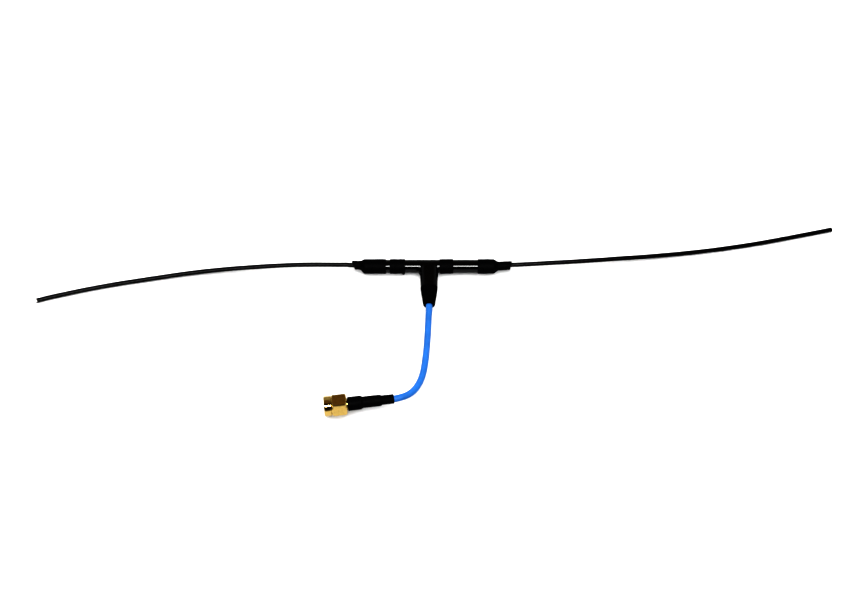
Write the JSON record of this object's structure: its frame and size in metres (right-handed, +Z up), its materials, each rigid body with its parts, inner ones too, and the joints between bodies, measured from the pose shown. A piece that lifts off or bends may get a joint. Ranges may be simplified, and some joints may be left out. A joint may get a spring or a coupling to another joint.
{
  "type": "rabbit ears antenna",
  "caption": "Wire dipole antenna: glossy tee hub, long springy coated elements, and a blue coax pigtail that ends in a gold hexagonal screw-on plug.",
  "frame": {"origin": "middle of the tee hub, on the flat pad under it that the antenna rests on", "axes": "+X along the bar towards the right element, +Y away from the coax stem, +Z up from the surface it lies on"},
  "size_m": [0.3318, 0.0927, 0.008],
  "materials": {
    "hub_plastic": "glossy moulded black plastic",
    "shrink_tube": "satin black heat-shrink tube",
    "stem_rubber": "matte black moulded strain relief",
    "element_coating": "thin semi-gloss black coating over twisted strands",
    "wire_steel": "twisted steel strands",
    "coax_blue": "smooth blue coax jacket with a slight sheen",
    "gold_plate": "bright gold plating on machined brass",
    "white_insulator": "white fluoropolymer",
    "tinned_braid": "tinned copper braid",
    "brass": "plain brass",
    "board_green": "green solder mask on a fibre board",
    "ferrite": "dull grey ferrite",
    "gasket_rubber": "soft red sealing rubber",
    "spring_steel": "spring wire"
  },
  "bodies": {
    "hub": {"tee_upper_shell": "hub_plastic", "tee_lower_shell": "hub_plastic", "left_band": "shrink_tube", "right_band": "shrink_tube", "left_end_boot": "shrink_tube", "right_end_boot": "shrink_tube", "stem_boot": "stem_rubber", "left_element_root": "element_coating", "right_element_root": "element_coating", "left_terminal": "brass", "right_terminal": "brass", "feed_board": "board_green", "choke_bead": "ferrite", "coax_lead": "coax_blue", "coax_braid": "tinned_braid", "coax_dielectric": "white_insulator", "coax_conductor": "brass", "coax_jacket": "coax_blue", "inner_sleeve": "shrink_tube", "outer_sleeve": "shrink_tube", "crimp_ferrule": "gold_plate", "sma_body": "gold_plate", "sma_insulator": "white_insulator", "sma_center_pin": "gold_plate", "sma_gasket": "gasket_rubber"},
    "left_element": {"left_element_jacket": "element_coating", "left_element_core": "wire_steel"},
    "right_element": {"right_element_jacket": "element_coating", "right_element_core": "wire_steel"},
    "nut_retainer": {"snap_ring": "spring_steel"},
    "nut": {"coupling_nut": "gold_plate"}
  },
  "joints": [
    {"name": "left_element_flex", "type": "hinge", "parent": "hub", "child": "left_element", "pos_m": [-0.0321, 0.00068, 0.00305], "axis": [0, 0, 1], "range_deg": [-25, 25], "stiffness_Nm_per_rad": 0.05},
    {"name": "right_element_flex", "type": "hinge", "parent": "hub", "child": "right_element", "pos_m": [0.0345, 0.00079, 0.00305], "axis": [0, 0, 1], "range_deg": [-25, 25], "stiffness_Nm_per_rad": 0.05},
    {"name": "nut_slide", "type": "slide", "parent": "hub", "child": "nut_retainer", "axis": [-0.992, -0.1262, 0], "range_m": [-0.00015, 0.00015]},
    {"name": "nut_spin", "type": "hinge", "parent": "nut_retainer", "child": "nut", "pos_m": [-0.03101, -0.06531, 0.00402], "axis": [-0.992, -0.1262, 0], "continuous": true}
  ]
}
